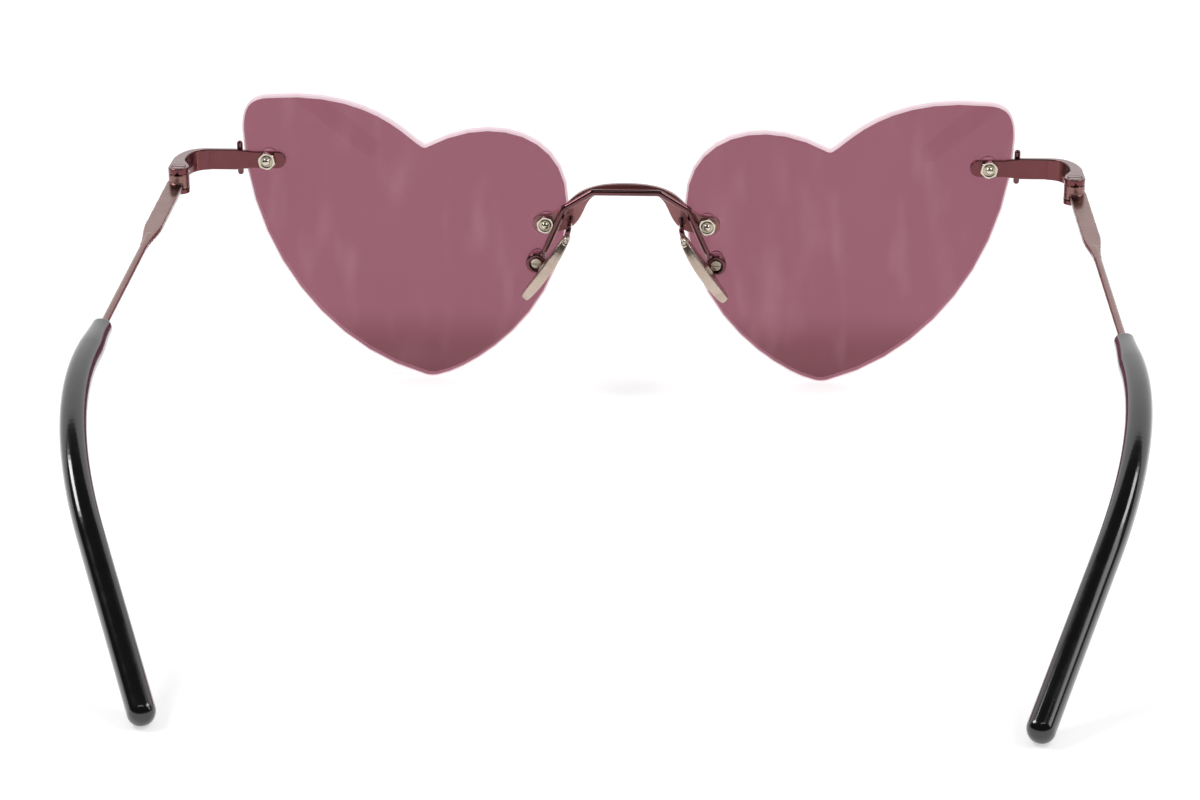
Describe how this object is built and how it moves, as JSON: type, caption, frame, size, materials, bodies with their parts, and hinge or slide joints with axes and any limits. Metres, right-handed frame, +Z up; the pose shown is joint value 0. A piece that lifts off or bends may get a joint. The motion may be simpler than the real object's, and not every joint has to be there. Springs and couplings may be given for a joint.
{
  "type": "sunglasses",
  "caption": "Rimless sunglasses with flat heart-shaped tinted lenses, a double bridge, metal nose pads and folding temples with bent tips.",
  "frame": {"origin": "on the table under the middle of the whole, as the glasses stand on the lenses' lower points and the tips' ends", "axes": "+X to the wearer's right, +Y towards the front of the lenses, +Z up"},
  "size_m": [0.1552, 0.1408, 0.0493],
  "materials": {
    "lens_tint": "polished, plum rose tint",
    "strap_lacquer": "translucent burgundy lacquer over plated nickel silver",
    "wire_lacquer": "dark wine lacquer over plated wire",
    "temple_plate": "pale rose lacquer over plated steel",
    "pad_metal": "satin champagne",
    "nickel": "bright nickel",
    "clear_plastic": "clear nylon",
    "tip_acetate": "polished black acetate"
  },
  "bodies": {
    "front": {"left_lens": "lens_tint", "right_lens": "lens_tint", "bridge_strap": "strap_lacquer", "bridge_wire": "wire_lacquer", "left_pad_arm": "wire_lacquer", "right_pad_arm": "wire_lacquer", "left_pad_screw": "nickel", "right_pad_screw": "nickel", "left_end_piece": "strap_lacquer", "right_end_piece": "strap_lacquer", "left_edge_post": "wire_lacquer", "right_edge_post": "wire_lacquer", "left_hinge_screw": "temple_plate", "right_hinge_screw": "temple_plate", "lens_screws": "nickel", "cap_nuts": "nickel", "lens_bushings": "clear_plastic", "lens_washers": "clear_plastic", "eyelet_screws": "nickel", "eyelet_nuts": "strap_lacquer"},
    "left_temple_arm": {"left_temple": "temple_plate", "left_temple_tip": "tip_acetate"},
    "right_temple_arm": {"right_temple": "temple_plate", "right_temple_tip": "tip_acetate"},
    "left_pad_body": {"left_nose_pad": "pad_metal"},
    "right_pad_body": {"right_nose_pad": "pad_metal"}
  },
  "joints": [
    {"name": "left_hinge", "type": "hinge", "parent": "front", "child": "left_temple_arm", "pos_m": [-0.0732, 0.05595, 0.0377], "axis": [0, 0, 1], "range_deg": [0, 86]},
    {"name": "right_hinge", "type": "hinge", "parent": "front", "child": "right_temple_arm", "pos_m": [0.0732, 0.05595, 0.0377], "axis": [0, 0, -1], "range_deg": [0, 81]},
    {"name": "left_pad_rock", "type": "hinge", "parent": "front", "child": "left_pad_body", "pos_m": [-0.00981, 0.06075, 0.02701], "axis": [0, 1, 0], "range_deg": [-8, 8]},
    {"name": "right_pad_rock", "type": "hinge", "parent": "front", "child": "right_pad_body", "pos_m": [0.00981, 0.06075, 0.02701], "axis": [0, 1, 0], "range_deg": [-8, 8]}
  ]
}
